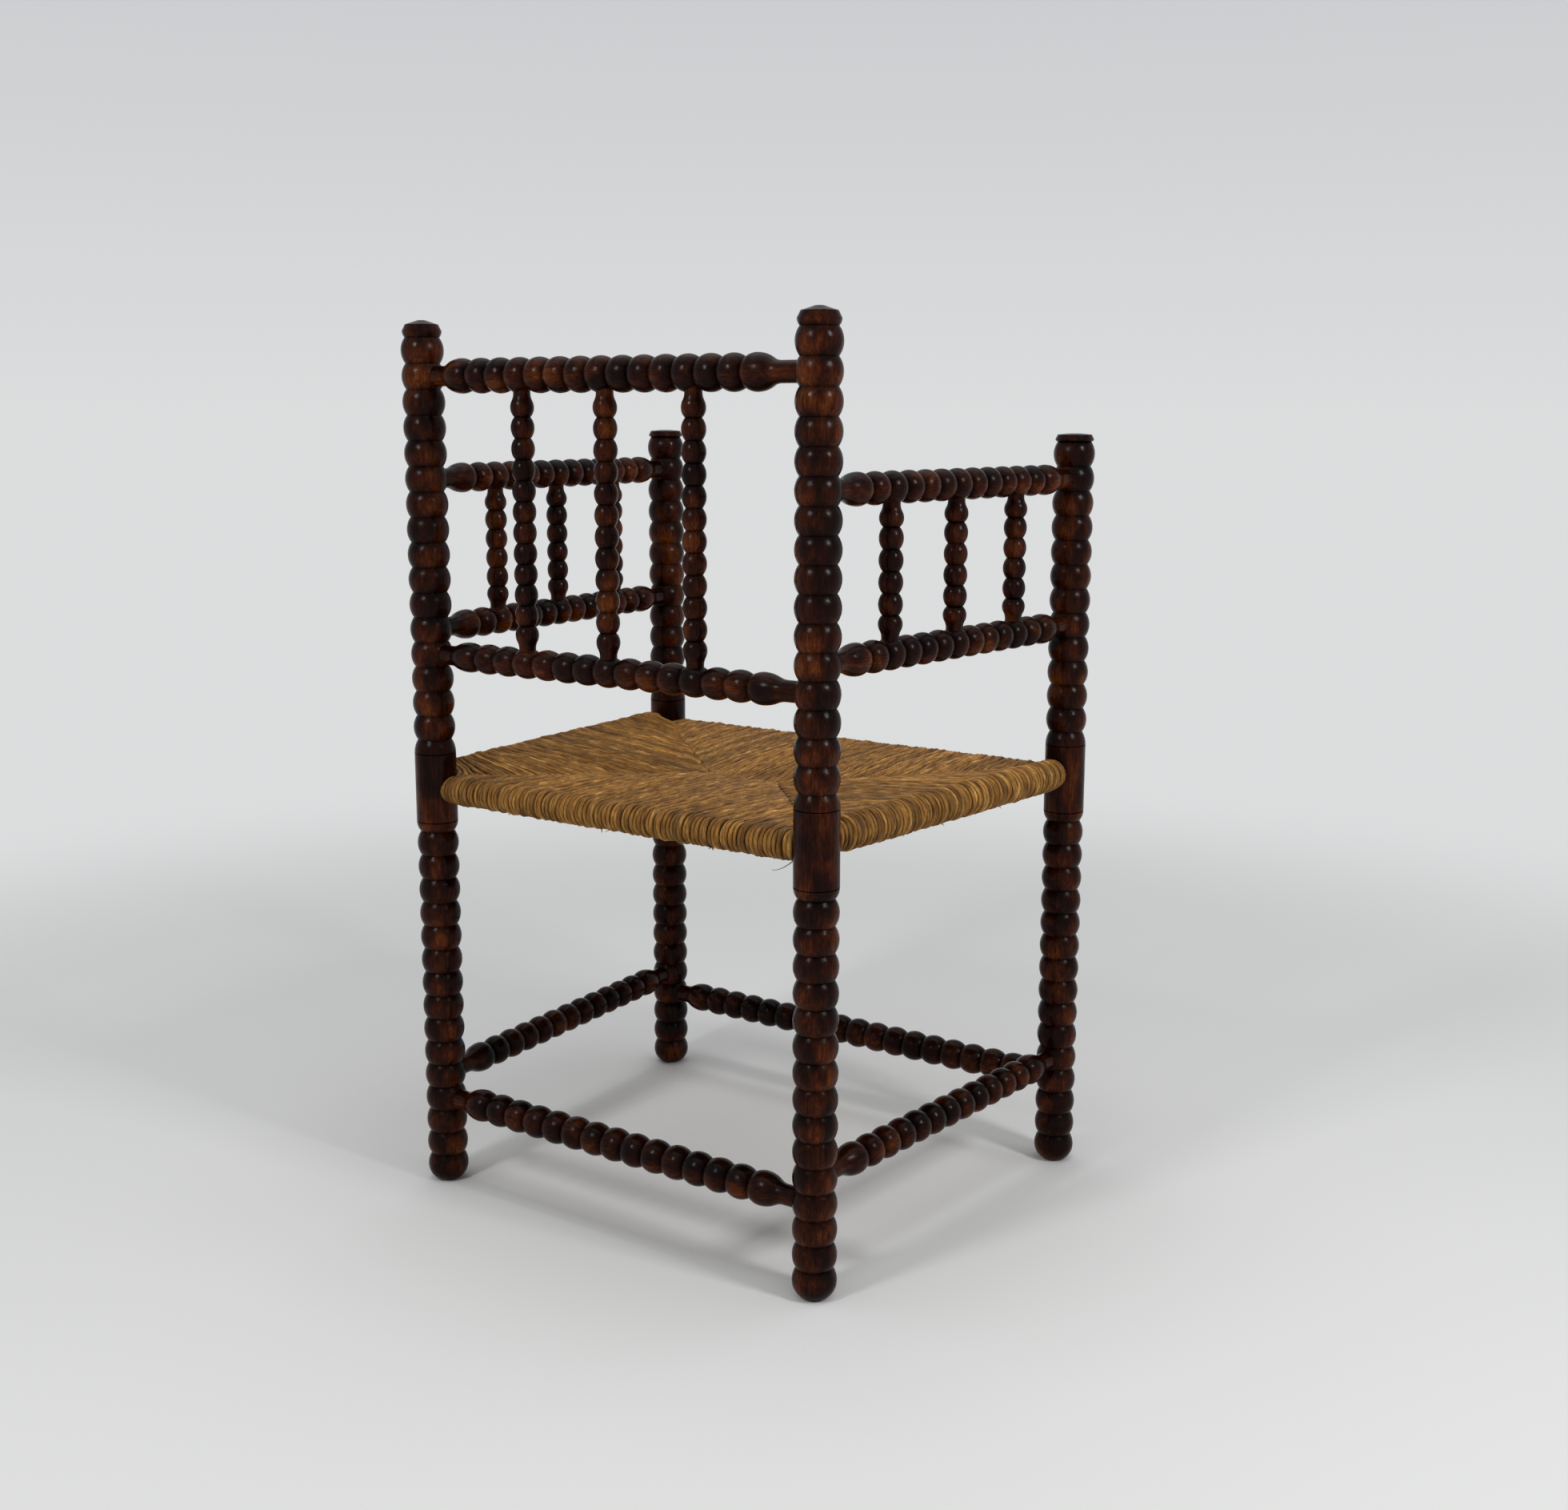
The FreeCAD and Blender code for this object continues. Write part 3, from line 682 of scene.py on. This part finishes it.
def make_world():
    """Light that comes mostly from above, with the plain backdrop where the seeing rays pass
    the floor."""
    world = bpy.data.worlds.new("studio")
    scene.world = world
    world.use_nodes = True
    tree = world.node_tree
    tree.nodes.remove(tree.nodes["Background"])
    split = add_node(tree, "ShaderNodeSeparateXYZ")
    tree.links.new(add_node(tree, "ShaderNodeTexCoord").outputs["Generated"], split.inputs[0])
    height = split.outputs["Z"]
    around = sky(tree, height, SKY_LOW, SKY_HIGH, SKY_TOP)
    backdrop = sky(tree, height, BACKDROP, BACKDROP_HIGH, BACKDROP_TOP)
    mix = add_node(tree, "ShaderNodeMixShader")
    tree.links.new(seen_rays(tree), mix.inputs["Fac"])
    tree.links.new(around, mix.inputs[1])
    tree.links.new(backdrop, mix.inputs[2])
    tree.links.new(mix.outputs["Shader"], tree.nodes["World Output"].inputs["Surface"])


make_world()


def add_lamp(name, place, target, size, power):
    lamp = bpy.data.lights.new(name, "AREA")
    lamp.shape = "RECTANGLE"
    lamp.size, lamp.size_y = size
    lamp.energy = power
    holder = bpy.data.objects.new(name, lamp)
    holder.location = place
    aim = Vector(target) - Vector(place)
    holder.rotation_euler = aim.to_track_quat("-Z", "Y").to_euler()
    scene.collection.objects.link(holder)


CAMERA_PLACE = Vector((-1.1666, 1.5863, 0.8337))
CAMERA_TURN = math.radians(215.025)
CAMERA_PITCH = math.radians(10.484)
CAMERA_ROLL = math.radians(0.125)
FOCAL_PIXELS = 2304.4
PHOTO_WIDTH = 1960
SENSOR_WIDTH = 36.0

ahead = Vector((-math.sin(CAMERA_TURN), math.cos(CAMERA_TURN), 0))
right = Vector((math.cos(CAMERA_TURN), math.sin(CAMERA_TURN), 0))
middle = Vector((0, 0, 0.5))


def studio_place(forward, sideways, height):
    """A spot given from the chair's middle: towards the scene's depth, to the right, and up."""
    spot = middle + ahead * forward + right * sideways
    return (spot.x, spot.y, height)


add_lamp("lamp_left", studio_place(-1.5, -1.3, 1.9), middle, SIDE_LAMP, 16)
add_lamp("lamp_right", studio_place(-1.3, 1.5, 1.8), middle, SIDE_LAMP, 20)
add_lamp("lamp_top", studio_place(0.2, 0.1, 3.2), middle, TOP_LAMP, 28)

camera_data = bpy.data.cameras.new("photo_camera")
camera_data.sensor_fit = "HORIZONTAL"
camera_data.sensor_width = SENSOR_WIDTH
camera_data.lens = FOCAL_PIXELS / PHOTO_WIDTH * SENSOR_WIDTH
camera_data.clip_end = 50
camera = bpy.data.objects.new("photo_camera", camera_data)
camera.matrix_world = (Matrix.Translation(CAMERA_PLACE)
                       @ Matrix.Rotation(CAMERA_TURN, 4, "Z")
                       @ Matrix.Rotation(math.pi / 2 - CAMERA_PITCH, 4, "X")
                       @ Matrix.Rotation(CAMERA_ROLL, 4, "Z"))
scene.collection.objects.link(camera)
scene.camera = camera

scene.view_settings.view_transform = "Standard"
